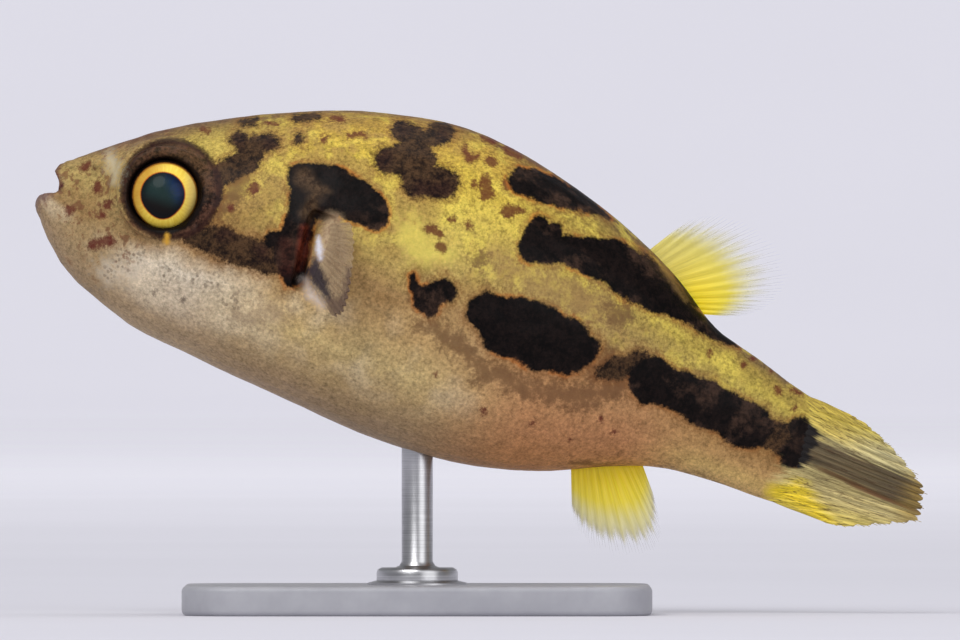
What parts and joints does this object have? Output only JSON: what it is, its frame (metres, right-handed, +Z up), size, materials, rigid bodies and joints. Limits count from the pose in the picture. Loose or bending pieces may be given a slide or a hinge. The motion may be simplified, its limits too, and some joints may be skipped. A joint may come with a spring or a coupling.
{
  "type": "freshwater pufferfish",
  "caption": "Life-size still model of a small dwarf freshwater pufferfish swimming nose-up, held by one short rod on a flat display base.",
  "frame": {"origin": "centre of the stand's underside, on the ground, under the fish's balance point", "axes": "+Z up, +X from the fish's snout towards its tail, -Y the fish's left side"},
  "size_m": [0.0286, 0.0118, 0.0161],
  "materials": {
    "skin": "damp scaleless skin, yellow-olive with black-brown blotches and a pale belly",
    "eye": "clear glossy eye with a gold ring",
    "fin_web": "thin see-through fin with fine rays, yellow at the root",
    "stand_paint": "satin mid grey paint",
    "stand_steel": "turned and brushed"
  },
  "bodies": {
    "root": {"head": "skin", "trunk": "skin", "tail_stalk": "skin", "eye_left": "eye", "eye_right": "eye", "fin_dorsal": "fin_web", "fin_anal": "fin_web", "fin_caudal": "fin_web", "fin_pectoral_left": "fin_web", "fin_pectoral_right": "fin_web", "stand_base": "stand_paint", "stand_rod": "stand_steel"}
  },
  "joints": []
}
